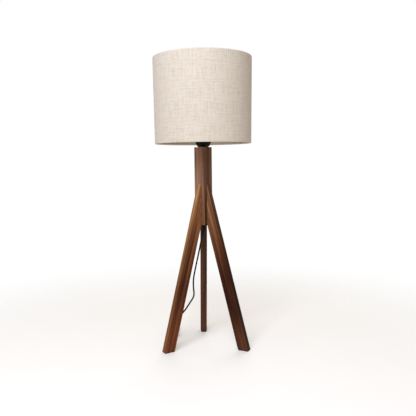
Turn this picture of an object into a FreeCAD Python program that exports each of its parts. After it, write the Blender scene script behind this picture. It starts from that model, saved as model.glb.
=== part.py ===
import FreeCAD, Part
import math
import os

# Tripod floor lamp: a three-sided walnut post on three splayed legs, a drum shade in linen,
# an E27 lampholder in a black cup, and a mains lead with an in-line switch.
# Millimetres, +Z up. The origin is on the floor under the post's axis, and the rear leg is at +Y.

V = FreeCAD.Vector
UP = V(0, 0, 1)
ORIGIN = V(0, 0, 0)
PAST = 1.0                  # how far a cutting shape reaches past what it cuts
SNUG = 0.05                 # clearance round a held lead
FREE = 0.1                  # clearance round a loose fit

# ---- stand: driving dimensions
POST_SIDE = 75.0            # each side of the post's equilateral section
POST_CORNERS = (270, 30, 150)
POST_TOP = 838.0
POST_EDGE = 1.2             # rounding of the post's long edges
TIP_HEIGHT = 686.0          # where a leg's outer face leaves the post
FOOT_RADIUS = 203.0         # outer faces of the legs, extended to the floor
LEG_DEPTH = 43.5
LEG_WIDTH = 27.0
LEG_EDGE = 1.0
PAD_THIN = 2.5              # foot pad under the outer edge
PAD_THICK = 6.0             # foot pad under the inner edge
PAD_INSET = 2.0
LEGS = {"leg_left": 210.0, "leg_right": 330.0, "leg_rear": 90.0}

FACE = POST_SIDE / (2 * math.sqrt(3))               # axis to each face of the post
SLOPE = (FOOT_RADIUS - FACE) / TIP_HEIGHT
SPLAY = math.atan(SLOPE)
LEVEL_DEPTH = LEG_DEPTH / math.cos(SPLAY)           # a leg's depth in a level cut
POST_BOTTOM = TIP_HEIGHT - LEVEL_DEPTH / SLOPE      # where the legs' inner faces leave the post

DOWEL_R = 4.0
DOWEL_LONG = 24.0
DOWEL_HEIGHTS = (545.0, 600.0)

# ---- lamp pipe and its nuts
PIPE_R = 5.0                # M10 x 1 thread
PIPE_BORE_R = 3.9
PIPE_BOTTOM = POST_BOTTOM + 7.0
BORE_R = 5.3
NUT_FLATS = 14.0
NUT_THICK = 3.5
NUT_HOLE_R = 5.05
WASHER_R = 10.0
WASHER_THICK = 1.5
POCKET_R = 12.0             # counterbore in the post's underside
POCKET_DEEP = 14.0

# ---- black cup and lampholder
CUP_FOOT_R = 20.0
CUP_TOP_R = 32.5
CUP_WALL = 1.6
CUP_HIGH = 26.0
CUP_RIM = 6.0               # straight part under the cup's mouth
CUP_BELLY = (28.6, 9.2)     # radius and height where the cup's wall curves most
HOLDER_BASE = POST_TOP + CUP_WALL + NUT_THICK + 0.4
CAP_R = 22.0
CAP_HIGH = 23.0
CAP_WALL = 2.5
CAP_FLOOR = 3.5
CAP_CHAMFER = (3.0, 4.0)
BOSS_R = 8.0
BOSS_HIGH = 8.5
SHOULDER = HOLDER_BASE + CAP_HIGH                   # top of the cap, foot of the shell
SHEATH_END = HOLDER_BASE + BOSS_HIGH + 1.0          # where the lead's two cores part
FLANGE_R = 24.0
FLANGE_THICK = 3.0
FLANGE_TOP = SHOULDER + 2 * FLANGE_THICK            # the shade's fitter lies on it
SHELL_R = 19.6
SHELL_BORE_R = 16.5
SHELL_TOP = FLANGE_TOP + 31.0
CORE_R = 18.5
CORE_THICK = 8.0
CORE_TOP = SHOULDER + 2.0
SCREW_SHELL_R = 13.6
SCREW_SHELL_WALL = 0.6
SCREW_SHELL_HIGH = 28.0
SCREW_SHELL_HOLE_R = 9.0
PLAY = 0.1                  # between faces that turn on each other
TERMINAL = (5.0, 7.0, 6.0)  # block: across, deep, high
TERMINAL_OUT = 11.5         # axis to a terminal's middle
TERMINAL_SCREW_R = 2.0
TERMINAL_SCREW_HEAD = 1.6
SCREW_SLOT = 0.6
WIRE_CORE_R = 1.0
TONGUE_THICK = 0.6
TONGUE_WIDE = 5.0

# ---- bulb, E27 cap and A60 globe
CONTACT_TOP = CORE_TOP + 5.0
EYELET_R = 4.5
BULB_CAP_R = 13.0
BULB_CAP_WALL = 0.5
BULB_NECK_R = 15.0
GLOBE_R = 30.0
GLOBE_WALL = 1.2
GLOBE_RIM_R = 28.5          # where the globe sits in the housing
HOUSING_BORE_R = 9.0
EYELET_HIGH = 2.0           # heights above the eyelet's foot
BULB_CAP_FOOT = 5.0
BULB_NECK = 24.0
BULB_WIDE = 62.0
BOARD_THICK = 1.6
DRIVER_WIDE = 14.0

# ---- shade
SHADE_TOP = 1200.0
SHADE_BOTTOM = 852.0
SHADE_TOP_R = 203.2
SHADE_BOTTOM_R = 199.2
FABRIC = 0.8
LINER = 0.6
WIRE_R = 1.5
HEM = 7.0                   # fabric turned in over each ring
FITTER_R = 31.0
FITTER_HOLE_R = 20.3
FITTER_THICK = 1.2
WIRE_GAP = 0.1              # between the wires and the fabric
ARM_ANGLES = (30.0, 150.0, 270.0)
ARM_INSET = 8.0             # the arms rise this far inside the bottom ring
ARM_BEND = 3.5
RING_R = 27.0
RING_HIGH = 8.0
RING_NOTCHES = 12
NOTCH_R = 1.6

# ---- mains lead
CORD_R = 3.2
CORD_OUT = POST_BOTTOM - 4.0                        # underside of the bushing's flange
BUSHING_R = 15.0
BUSHING_PLUG = 5.5          # length of the bushing inside the post
BOOT_TILT = 10.9
BOOT_ROOT = 6.0             # how far the boot's cone starts inside the bushing
BOOT_LONG = 42.0
BOOT_TOP_R = 7.0
BOOT_END_R = 4.6
ROUTE_HANG = (
    (0, 0, CORD_OUT), (-8, 0, 470), (-17, -1, 428), (-27, -3, 382), (-39, -6, 331),
    (-48.5, -9, 286), (-49, -12, 249), (-45, -15, 214), (-65, -23, 186), (-89, -31, 152),
    (-115, -39.5, 131), (-139.2, -60.7, 112), (-148.8, -66.3, 70), (-152.8, -58, 33),
    (-152, -29, 9.5), (-152, 6, 8.5),
)
ROUTE_FLOOR = ((-152, 52, 8.5), (-152.6, 65, 8.2), (-158.6, 82, 4.4), (-160.3, 97.5, CORD_R))
ROUTE_PLUG = ((19.5, 36.5, 25.6), (16.6, 24.5, 28), (10.4, 10.5, 30.9), (6.5, -3, 32.3),
              (6, -14, 32.45))                      # measured in the hank's own frame
CLIP_HEIGHT = 91.0
CLIP_LONG = 8.0
CLIP_WALL = 1.8
CLIP_TAB = (7.0, 3.0)       # flat ear with the nail: length and thickness
LEAD_OFF_LEG = 3.5          # lead's centre to the leg's side face
NAIL_R = 0.9
NAIL_LONG = 15.0
NAIL_HEAD_R = 2.2
NAIL_HEAD = 0.8
NAIL_OUT = 3.0              # nail's centre to the clip's saddle

# ---- in-line switch, on the floor behind the left foot
SWITCH_X = -152.0
SWITCH_Y = (0.0, 58.0)
SWITCH_WIDE = 24.0
SWITCH_SPLIT = 8.5          # the lead's height, where the two half shells meet
SWITCH_TOP = 17.0
SWITCH_WALL = 1.8
SWITCH_ENTRY = 8.0          # solid end of the case that grips the lead
SWITCH_CORNER = 5.0
SWITCH_BEVEL = 1.6
SEAM = 0.5                  # bevel on both halves where they meet
ROCKER_LONG = 17.0
ROCKER_WIDE = 10.0
ROCKER_GAP = 0.4
ROCKER_TILT = 9.0
ROCKER_PIVOT = 13.0
ROCKER_PIN_R = 1.1
ROCKER_FACE = 17.2          # top of the rocker's ends and of its middle
ROCKER_CREST = 18.2
ROCKER_FOOT = 10.9
CHEEK = 1.6                 # walls in the case that carry the rocker's pin
CHEEK_FOOT = 10.5
SWITCH_SCREWS = ((-8.0, 14.0), (8.0, 44.0))
SCREW_POST_R = 2.8
SCREW_R = 1.2
SCREW_HEAD_R = 2.3
SCREW_HEAD = (0.3, 1.5)     # underside and top of the sunk heads
SCREW_TOP = 12.5
STRIP_WIDE = 4.0            # sprung brass strip
SWITCH_TERMINALS = ((-19.0, 5.1), (9.5, 4.0))       # place along the switch, height

# ---- spare lead folded behind the left leg
HANK_AT = V(-138.3, 149.0, 0)
HANK_TURN = -2.9
HANK_LONG = 130.0
FOLD_R = 19.9               # just over three diameters, to the lead's centre
HANK_END_R = FOLD_R + CORD_R
HANK_WAIST = 7.2
HANK_SHOULDERS = ((20.4, 30.0), (11.0, 16.5))       # outline between a fold and the tie
HANK_HIGH = 4 * 2 * CORD_R                          # four layers
TIE_WIDE = 9.0
TIE_THICK = 1.2

# ---- plug with two round pins, lying on the hank
PLUG_ACROSS = 6.0
PLUG_REAR = -26.0
PLUG_LONG = 36.0
PLUG_WIDE = 35.3
PLUG_THICK = 13.7
PLUG_BOOT = 20.0
PLUG_NECK = 15.0            # width where the boot joins the body
PLUG_SHOULDERS = (5.0, 22.0)                        # taper's start and end, from the rear
PLUG_EDGE = 2.0
PLUG_BOOT_R = (6.0, 4.4)
GRIPS = 4                   # ribs across the plug's faces
GRIP_DEEP = 0.5
GRIP_PITCH = 3.4
PIN_R = 2.0
PIN_LONG = 19.0
PIN_APART = 18.6
PIN_ROOT = 8.0              # length of a pin inside the body
SLEEVE_LONG = 10.0
SLEEVE_WALL = 0.5


def direction(azimuth):
    a = math.radians(azimuth)
    return V(math.cos(a), math.sin(a), 0)


def write(name, shape):
    shape.exportStep("parts/%s.step" % name)
    print("%-22s %10.1f mm3  %d solids" % (name, shape.Volume, len(shape.Solids)))


def group(shapes):
    return Part.makeCompound(shapes)


def polygon_face(points):
    wire = Part.makePolygon([V(*p) for p in points] + [V(*points[0])])
    return Part.Face(wire)


def turned(profile):
    """A solid of revolution about Z from (radius, height) points."""
    face = polygon_face([(r, 0, z) for r, z in profile])
    return face.revolve(ORIGIN, UP, 360)


def disc(r, z0, z1, hole=0.0):
    shape = Part.makeCylinder(r, z1 - z0, V(0, 0, z0))
    if hole:
        shape = shape.cut(Part.makeCylinder(hole, z1 - z0 + 2 * PAST, V(0, 0, z0 - PAST)))
    return shape


def nut(z0):
    """A hexagon nut on the lamp pipe."""
    r = NUT_FLATS / math.sqrt(3)
    corners = [tuple(direction(60 * k) * r + V(0, 0, z0)) for k in range(6)]
    prism = polygon_face(corners).extrude(V(0, 0, NUT_THICK))
    return prism.cut(disc(NUT_HOLE_R, z0 - PAST, z0 + NUT_THICK + PAST))


def upright_edges(shape):
    return [e for e in shape.Edges if abs(e.tangentAt(e.FirstParameter).z) > 0.99]


def rounded_box(x0, x1, y0, y1, z0, z1, r):
    """A box whose upright edges are rounded."""
    box = Part.makeBox(x1 - x0, y1 - y0, z1 - z0, V(x0, y0, z0))
    return box.makeFillet(r, upright_edges(box))


def tube(points, radius, label="", bend=None):
    """A round tube on straight runs joined by tangent arcs of one bend radius, or, where none is
    given, each as large as its two runs allow."""
    p = [V(*q) for q in points]
    edges = []
    radii = []
    long = 0.0
    start = p[0]
    for a, b, c in zip(p, p[1:], p[2:]):
        back, on = a - b, c - b
        shorter = min(back.Length, on.Length)
        back.normalize()
        on.normalize()
        half_turn = (math.pi - back.getAngle(on)) / 2
        r = bend or 0.45 * shorter / math.tan(half_turn)
        cut = r * math.tan(half_turn)
        into, out = b + back * cut, b + on * cut
        middle = b + (back + on).normalize() * (r / math.cos(half_turn) - r)
        edges.append(Part.LineSegment(start, into).toShape())
        edges.append(Part.Arc(into, middle, out).toShape())
        long += (into - start).Length + r * 2 * half_turn
        radii.append(r)
        start = out
    edges.append(Part.LineSegment(start, p[-1]).toShape())
    long += (p[-1] - start).Length
    ring = Part.Wire([Part.makeCircle(radius, p[0], p[1] - p[0])])
    solid = Part.Wire(edges).makePipeShell([ring], True, False)
    if label:
        share = solid.Volume / (math.pi * radius ** 2 * long)
        print("%s: %.0f mm long, bend radii %s, volume / (section x length) %.4f" % (
            label, long, " ".join("%.0f" % r for r in radii), share))
    return solid


def turn_about(shape, azimuth):
    """A copy turned about the post's axis."""
    done = shape.copy()
    done.rotate(ORIGIN, UP, azimuth)
    return done


def dowels():
    """Two across each glued joint, half in the post and half in the leg."""
    found = []
    for azimuth in LEGS.values():
        for z in DOWEL_HEIGHTS:
            u = direction(azimuth)
            start = u * (FACE - DOWEL_LONG / 2) + V(0, 0, z)
            found.append(Part.makeCylinder(DOWEL_R, DOWEL_LONG, start, u))
    return found


# ---- wood

def post():
    corner = POST_SIDE / math.sqrt(3)
    section = [direction(a) * corner + V(0, 0, POST_BOTTOM) for a in POST_CORNERS]
    body = polygon_face([tuple(p) for p in section]).extrude(V(0, 0, POST_TOP - POST_BOTTOM))
    body = body.makeFillet(POST_EDGE, upright_edges(body))
    body = body.cut(disc(BORE_R, POST_BOTTOM - PAST, POST_TOP + PAST))
    body = body.cut(disc(POCKET_R, POST_BOTTOM - PAST, POST_BOTTOM + POCKET_DEEP))
    return body.cut(dowels())


def outer_face(z):
    """Distance from the axis to a leg's outer face."""
    return FACE + SLOPE * (TIP_HEIGHT - z)


def leg(azimuth):
    """A rectangular bar whose upper end is cut upright to lie on the post's face."""
    half = LEG_WIDTH / 2
    outline = [
        (FACE, -half, TIP_HEIGHT),
        (FACE, -half, POST_BOTTOM),
        (outer_face(PAD_THICK) - LEVEL_DEPTH, -half, PAD_THICK),
        (outer_face(PAD_THIN), -half, PAD_THIN),
    ]
    body = polygon_face(outline).extrude(V(0, LEG_WIDTH, 0))
    slant = V(SLOPE, 0, -1).normalize()
    inner = [e for e in body.Edges
             if abs(abs(e.tangentAt(e.FirstParameter).dot(slant)) - 1) < 1e-6
             and e.BoundBox.ZMax < POST_BOTTOM + 1]
    body = turn_about(body.makeFillet(LEG_EDGE, inner), azimuth)
    return body.cut(dowels() + [clip_nail()])


def foot_pad(azimuth):
    """A wedge that stands level under the slanted foot."""
    half = LEG_WIDTH / 2 - PAD_INSET
    rise = (PAD_THICK - PAD_THIN) / LEVEL_DEPTH
    outside = outer_face(PAD_THIN) - PAD_INSET
    inside = outer_face(PAD_THICK) - LEVEL_DEPTH + PAD_INSET
    outline = [
        (outside, -half, 0),
        (outside, -half, PAD_THIN + PAD_INSET * rise),
        (inside, -half, PAD_THICK - PAD_INSET * rise),
        (inside, -half, 0),
    ]
    pad = polygon_face(outline).extrude(V(0, 2 * half, 0))
    return turn_about(pad, azimuth)


# ---- pipe, nuts, cup

def lamp_pipe():
    return disc(PIPE_R, PIPE_BOTTOM, HOLDER_BASE + BOSS_HIGH, PIPE_BORE_R)


def cord_in_pipe():
    return disc(CORD_R, CORD_OUT, SHEATH_END)


def socket_cup():
    """A bowl with a flat foot, open at the top."""
    low, high = POST_TOP, POST_TOP + CUP_HIGH
    straight = high - CUP_RIM
    belly = V(CUP_BELLY[0], 0, low + CUP_BELLY[1])
    outside = Part.Arc(V(CUP_FOOT_R, 0, low), belly, V(CUP_TOP_R, 0, straight))
    rim = CUP_TOP_R - CUP_WALL
    foot_inside = CUP_FOOT_R - CUP_WALL / 4
    across_wall = V(-0.75, 0, 0.65) * CUP_WALL          # square to the wall at the belly
    inside = Part.Arc(V(rim, 0, straight), belly + across_wall, V(foot_inside, 0, low + CUP_WALL))
    corners = [V(CUP_TOP_R, 0, straight), V(CUP_TOP_R, 0, high), V(rim, 0, high), V(rim, 0, straight)]
    foot = [
        V(foot_inside, 0, low + CUP_WALL), V(NUT_HOLE_R, 0, low + CUP_WALL),
        V(NUT_HOLE_R, 0, low), V(CUP_FOOT_R, 0, low),
    ]
    edges = [outside.toShape()]
    edges += [Part.LineSegment(a, b).toShape() for a, b in zip(corners, corners[1:])]
    edges.append(inside.toShape())
    edges += [Part.LineSegment(a, b).toShape() for a, b in zip(foot, foot[1:])]
    return Part.Face(Part.Wire(edges)).revolve(ORIGIN, UP, 360)


def cord_bushing():
    """Black plug that closes the pocket in the post's underside and guides the lead."""
    plug = disc(POCKET_R - FREE, POST_BOTTOM, POST_BOTTOM + BUSHING_PLUG)
    flange = disc(BUSHING_R, CORD_OUT, POST_BOTTOM)
    hole = disc(CORD_R + FREE, CORD_OUT - PAST, POST_BOTTOM + BUSHING_PLUG + PAST)
    return plug.fuse(flange).removeSplitter().cut(hole)


def strain_relief():
    """Tapered boot on the lead, leaning the way the lead hangs."""
    lean = math.radians(BOOT_TILT)
    down = V(-math.sin(lean), 0, -math.cos(lean))
    start = V(0, 0, CORD_OUT) - down * BOOT_ROOT
    long = BOOT_LONG + BOOT_ROOT
    cone = Part.makeCone(BOOT_TOP_R, BOOT_END_R, long, start, down)
    cone = cone.cut(Part.makeCylinder(CORD_R + SNUG, long + 2 * PAST, start - down * PAST, down))
    return cone.common(disc(long, CORD_OUT - long, CORD_OUT))


# ---- lampholder

def lampholder_cap():
    low, high = HOLDER_BASE, SHOULDER
    floor = low + CAP_FLOOR
    return turned([
        (NUT_HOLE_R, low), (CAP_R - CAP_CHAMFER[0], low), (CAP_R, low + CAP_CHAMFER[1]), (CAP_R, high),
        (CAP_R - CAP_WALL, high), (CAP_R - CAP_WALL, floor), (BOSS_R, floor),
        (BOSS_R, low + BOSS_HIGH), (NUT_HOLE_R, low + BOSS_HIGH),
    ])


def lampholder_shell():
    """Upper shell: a flange for the shade's fitter, then the threaded collar."""
    under = FLANGE_TOP - FLANGE_THICK
    chamfer = 1.0
    return turned([
        (CORE_R + FREE, SHOULDER), (CAP_R, SHOULDER), (CAP_R, under), (FLANGE_R, under),
        (FLANGE_R, FLANGE_TOP), (SHELL_R, FLANGE_TOP), (SHELL_R, SHELL_TOP - chamfer),
        (SHELL_R - chamfer, SHELL_TOP), (SHELL_BORE_R, SHELL_TOP), (SHELL_BORE_R, CORE_TOP + FREE),
        (CORE_R + FREE, CORE_TOP + FREE),
    ])


def lampholder_core():
    return disc(CORE_R, CORE_TOP - CORE_THICK, CORE_TOP)


def screw_shell():
    r = SCREW_SHELL_R + SCREW_SHELL_WALL
    wall = disc(r, CORE_TOP, CORE_TOP + SCREW_SHELL_HIGH, SCREW_SHELL_R)
    lip = disc(r, CORE_TOP, CORE_TOP + SCREW_SHELL_WALL, SCREW_SHELL_HOLE_R)
    return wall.fuse(lip).removeSplitter()


def centre_contact():
    """Sprung tongue that rises from the core to the bulb's eyelet."""
    foot, bend, knee, tip = -7.5, -6.5, -2.5, 3.0       # along X
    lean = 0.5                                          # thickness of the slope, along X
    outline = [
        (foot, CORE_TOP), (foot, CORE_TOP + TONGUE_THICK), (bend, CORE_TOP + TONGUE_THICK),
        (knee, CONTACT_TOP), (tip, CONTACT_TOP), (tip, CONTACT_TOP - TONGUE_THICK),
        (knee + lean, CONTACT_TOP - TONGUE_THICK), (bend + lean, CORE_TOP),
    ]
    face = polygon_face([(x, -TONGUE_WIDE / 2, z) for x, z in outline])
    return face.extrude(V(0, TONGUE_WIDE, 0))


def terminal_places():
    """Middles of the two terminals' tops, under the core."""
    return [V(s * TERMINAL_OUT, 0, CORE_TOP - CORE_THICK) for s in (-1, 1)]


def terminal_blocks():
    across, deep, high = TERMINAL
    return group([Part.makeBox(across, deep, high, p - V(across / 2, deep / 2, high))
                  for p in terminal_places()])


def terminal_screws():
    _, deep, high = TERMINAL
    reach = 2 * TERMINAL_SCREW_R + SCREW_SLOT
    screws = []
    for p in terminal_places():
        middle = p - V(0, deep / 2, high / 2)
        head = Part.makeCylinder(TERMINAL_SCREW_R, TERMINAL_SCREW_HEAD, middle, V(0, -1, 0))
        corner = middle - V(reach / 2, TERMINAL_SCREW_HEAD + SCREW_SLOT / 2, SCREW_SLOT / 2)
        slot = Part.makeBox(reach, SCREW_SLOT * 1.2, SCREW_SLOT, corner)
        screws.append(head.cut(slot))
    return group(screws)


def wire(side):
    """One core of the lead, from the pipe's mouth to its terminal."""
    end = terminal_places()[(side + 1) // 2]
    _, deep, high = TERMINAL
    points = [(side * 1.5, 0, SHEATH_END), (side * 1.8, 3, SHEATH_END + 4.0),
              (side * 5.5, 7.5, SHEATH_END + 2.6), (end.x - side * 0.5, 7.5, end.z - 3.6),
              (end.x, deep / 2, end.z - high / 2)]
    return tube(points, WIRE_CORE_R)


# ---- bulb

def bulb_levels():
    """Heights of the eyelet's foot, its top, the cap's foot, the neck and the globe's foot."""
    low = CONTACT_TOP + PLAY
    return low, low + EYELET_HIGH, low + BULB_CAP_FOOT, low + BULB_NECK, low + BULB_WIDE


def bulb_eyelet():
    low, eyelet, _, _, _ = bulb_levels()
    return turned([(0, low), (EYELET_R - 1, low), (EYELET_R, low + 1), (EYELET_R, eyelet), (0, eyelet)])


def bulb_insulator():
    _, eyelet, cap, _, _ = bulb_levels()
    return turned([(0, eyelet), (EYELET_R + 0.5, eyelet), (BULB_CAP_R - 2, cap), (0, cap)])


def bulb_cap():
    _, _, low, high, _ = bulb_levels()
    chamfer, floor, inside = 1.5, 2.0, BULB_CAP_R - BULB_CAP_WALL
    return turned([
        (0, low), (BULB_CAP_R - chamfer, low), (BULB_CAP_R, low + chamfer), (BULB_CAP_R, high),
        (inside, high), (inside, low + floor), (0, low + floor),
    ])


def bulb_housing():
    """Moulded body from inside the cap up to the globe's rim."""
    _, _, low, neck, wide = bulb_levels()
    stem = BULB_CAP_R - BULB_CAP_WALL - FREE
    return turned([
        (HOUSING_BORE_R, low + 3), (stem, low + 3), (stem, neck), (BULB_CAP_R + 0.6, neck),
        (BULB_NECK_R, neck + 8), (GLOBE_RIM_R, wide), (GLOBE_R - 4, wide),
        (BULB_NECK_R - 2, neck + 9), (HOUSING_BORE_R, neck + 2),
    ])


def bulb_globe():
    low = bulb_levels()[-1]
    centre = V(0, 0, low + math.sqrt(GLOBE_R ** 2 - GLOBE_RIM_R ** 2))
    shell = Part.makeSphere(GLOBE_R, centre).cut(Part.makeSphere(GLOBE_R - GLOBE_WALL, centre))
    return shell.common(disc(GLOBE_R + PAST, low, low + 2 * GLOBE_R))


def led_board_levels():
    low = bulb_levels()[-1] - 3.0
    return low, low + BOARD_THICK


def led_board():
    """Board wedged in the housing's tapered mouth."""
    _, _, _, neck, wide = bulb_levels()
    taper = (GLOBE_R - 4 - (BULB_NECK_R - 2)) / (wide - (neck + 9))
    low, high = led_board_levels()
    edge = GLOBE_R - 4
    return turned([(0, low), (edge - (wide - low) * taper, low), (edge - (wide - high) * taper, high),
                   (0, high)])


def led_driver():
    """Narrow board that stands in the cap and carries the LED board."""
    foot = bulb_levels()[2] + 2
    corner = V(-BOARD_THICK / 2, -DRIVER_WIDE / 2, foot)
    return Part.makeBox(BOARD_THICK, DRIVER_WIDE, led_board_levels()[0] - foot, corner)


# ---- shade

def shade_radius(z):
    share = (z - SHADE_BOTTOM) / (SHADE_TOP - SHADE_BOTTOM)
    return SHADE_BOTTOM_R + share * (SHADE_TOP_R - SHADE_BOTTOM_R)


def ring_place(top):
    """Centre radius and height of the wire inside the fabric's top or bottom turn."""
    inset = FABRIC + WIRE_R + WIRE_GAP
    z = SHADE_TOP - inset if top else SHADE_BOTTOM + inset
    return shade_radius(z) - inset, z


def hem(edge, inward):
    """Outline of the turned-in edge, from outside round to the inner end and back up inside."""
    deep = 2 * (WIRE_R + WIRE_GAP) + FABRIC
    inner = edge + inward * HEM
    fold = edge + inward * FABRIC
    return [
        (shade_radius(edge), edge),
        (shade_radius(edge) - deep - FABRIC, edge),
        (shade_radius(inner) - deep - FABRIC, inner),
        (shade_radius(inner) - deep, inner),
        (shade_radius(fold) - deep, fold),
        (shade_radius(fold) - FABRIC, fold),
    ]


def shade_fabric():
    """The linen cone, turned in over the wire at both ends and notched for the arms."""
    cloth = turned(hem(SHADE_BOTTOM, 1) + hem(SHADE_TOP, -1)[::-1])
    r, z = ring_place(False)
    notches = []
    for azimuth in ARM_ANGLES:
        u = direction(azimuth)
        notches.append(Part.makeCylinder(WIRE_R + 0.2, ARM_INSET, u * (r - ARM_INSET) + V(0, 0, z), u))
    return cloth.cut(notches)


def shade_liner():
    low, high = SHADE_BOTTOM + HEM + 2, SHADE_TOP - HEM - 2
    a, b = shade_radius(low) - FABRIC, shade_radius(high) - FABRIC
    return turned([(a - LINER, low), (a, low), (b, high), (b - LINER, high)])


def shade_top_ring():
    r, z = ring_place(True)
    return Part.makeTorus(r, WIRE_R, V(0, 0, z))


def shade_bottom_frame():
    """Bottom ring, three bent arms and the fitter washer, welded together."""
    r, low = ring_place(False)
    level = FLANGE_TOP + PLAY + FITTER_THICK / 2
    frame = disc(FITTER_R, level - FITTER_THICK / 2, level + FITTER_THICK / 2, FITTER_HOLE_R)
    arms = [Part.makeTorus(r, WIRE_R, V(0, 0, low))]
    for azimuth in ARM_ANGLES:
        corners = ((r, low), (r - ARM_INSET, low), (r - ARM_INSET, level), (FITTER_R - 1.5, level))
        points = [tuple(direction(azimuth) * d + V(0, 0, z)) for d, z in corners]
        arms.append(tube(points, WIRE_R, bend=ARM_BEND))
    return frame.fuse(arms)


def shade_ring():
    """Threaded ring that holds the fitter down, with finger notches round its rim."""
    low = FLANGE_TOP + 2 * PLAY + FITTER_THICK
    ring = disc(RING_R, low, low + RING_HIGH, SHELL_R + FREE)
    notches = []
    for k in range(RING_NOTCHES):
        foot = direction(360 / RING_NOTCHES * k) * (RING_R + 0.6) + V(0, 0, low - PAST)
        notches.append(Part.makeCylinder(NOTCH_R, RING_HIGH + 2 * PAST, foot))
    return ring.cut(notches)


# ---- cable clip on the left leg's far side

def on_left_leg(shape):
    """Stand a shape on the left leg's far side face at the clip: its X points to the post, its
    Y out of the face and its Z up along the leg."""
    middle = outer_face(CLIP_HEIGHT) - LEVEL_DEPTH / 2
    s, c = math.sin(SPLAY), math.cos(SPLAY)
    frame = FreeCAD.Matrix(-c, 0, -s, middle, 0, -1, 0, -LEG_WIDTH / 2, -s, 0, c, CLIP_HEIGHT)
    done = shape.transformed(frame)
    return turn_about(done, LEGS["leg_left"])


def saddle_r():
    return CORD_R + FREE + CLIP_WALL


def cable_clip():
    """Saddle over the lead with a flat ear for its nail."""
    outside, half = saddle_r(), CLIP_LONG / 2
    tab_long, tab_thick = CLIP_TAB
    saddle = Part.makeCylinder(outside, CLIP_LONG, V(0, LEAD_OFF_LEG, -half))
    foot = Part.makeBox(2 * outside, LEAD_OFF_LEG, CLIP_LONG, V(-outside, 0, -half))
    tab = Part.makeBox(tab_long, tab_thick, CLIP_LONG, V(outside - 0.5, 0, -half))
    in_the_leg = Part.makeBox(4 * outside, 2 * outside, 4 * outside, V(-1, -1, -0.5) * 2 * outside)
    clip = saddle.fuse([foot, tab]).cut(in_the_leg)
    lead = Part.makeCylinder(CORD_R + FREE, CLIP_LONG + 2 * PAST, V(0, LEAD_OFF_LEG, -half - PAST))
    nail = Part.makeCylinder(NAIL_R + FREE, tab_thick + 2 * PAST, V(outside + NAIL_OUT, -PAST, 0),
                             V(0, 1, 0))
    return on_left_leg(clip.cut([lead, nail]))


def clip_nail():
    place, ear = saddle_r() + NAIL_OUT, CLIP_TAB[1]
    shank = Part.makeCylinder(NAIL_R, NAIL_LONG, V(place, ear - NAIL_LONG, 0), V(0, 1, 0))
    head = Part.makeCylinder(NAIL_HEAD_R, NAIL_HEAD, V(place, ear, 0), V(0, 1, 0))
    return on_left_leg(shank.fuse(head))


# ---- in-line switch

def switch_half(z0, z1, floor, roof):
    """Half of the case with its cavity open towards the other half."""
    half = SWITCH_WIDE / 2
    y0, y1 = SWITCH_Y
    shell = rounded_box(SWITCH_X - half, SWITCH_X + half, y0, y1, z0, z1, SWITCH_CORNER)
    at_split = [e for e in shell.Edges if abs(e.BoundBox.ZMin - SWITCH_SPLIT) < 1e-3
                and e.BoundBox.ZLength < 1e-3]
    shell = shell.makeChamfer(SEAM, at_split)
    hollow = Part.makeBox(2 * (half - SWITCH_WALL), y1 - y0 - 2 * SWITCH_ENTRY, roof - floor,
                          V(SWITCH_X - half + SWITCH_WALL, y0 + SWITCH_ENTRY, floor))
    lead = Part.makeCylinder(CORD_R + SNUG, y1 - y0, V(SWITCH_X, y0, SWITCH_SPLIT), V(0, 1, 0))
    return shell.cut([hollow, lead])


def screw_posts(r, z0, z1):
    return [Part.makeCylinder(r, z1 - z0, V(SWITCH_X + x, y, z0)) for x, y in SWITCH_SCREWS]


def switch_case_lower():
    case = switch_half(0, SWITCH_SPLIT, SWITCH_WALL, SWITCH_SPLIT)
    case = case.fuse(screw_posts(SCREW_POST_R, SWITCH_WALL, SWITCH_SPLIT)).removeSplitter()
    holes = screw_posts(SCREW_R + SNUG, -PAST, SWITCH_SPLIT + PAST)
    return case.cut(holes + screw_posts(SCREW_HEAD_R + 3 * SNUG, -PAST, SCREW_HEAD[1] + FREE))


def rocker_centre():
    return V(SWITCH_X, sum(SWITCH_Y) / 2, ROCKER_PIVOT)


def switch_case_upper():
    roof = SWITCH_TOP - SWITCH_WALL
    case = switch_half(SWITCH_SPLIT, SWITCH_TOP, SWITCH_SPLIT, roof)
    case = case.makeFillet(SWITCH_BEVEL, [e for e in case.Edges if e.BoundBox.ZMin > SWITCH_TOP - 0.01])
    c = rocker_centre()
    wide, long = ROCKER_WIDE / 2 + ROCKER_GAP, ROCKER_LONG / 2 + ROCKER_GAP
    cheeks = [Part.makeBox(CHEEK, 2 * long, roof - CHEEK_FOOT, V(c.x + x, c.y - long, CHEEK_FOOT))
              for x in (-wide - CHEEK, wide)]
    case = case.fuse(cheeks + screw_posts(SCREW_POST_R, SWITCH_SPLIT, roof)).removeSplitter()
    window = Part.makeBox(2 * wide, 2 * long, 10, V(c.x - wide, c.y - long, CHEEK_FOOT - 0.5))
    pin_room = wide + ROCKER_PIN_R + FREE
    pivot = Part.makeCylinder(ROCKER_PIN_R + SNUG, 2 * pin_room, c - V(pin_room, 0, 0), V(1, 0, 0))
    return case.cut([window, pivot] + screw_posts(SCREW_R + SNUG, SWITCH_SPLIT - PAST, SCREW_TOP + 0.5))


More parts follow.
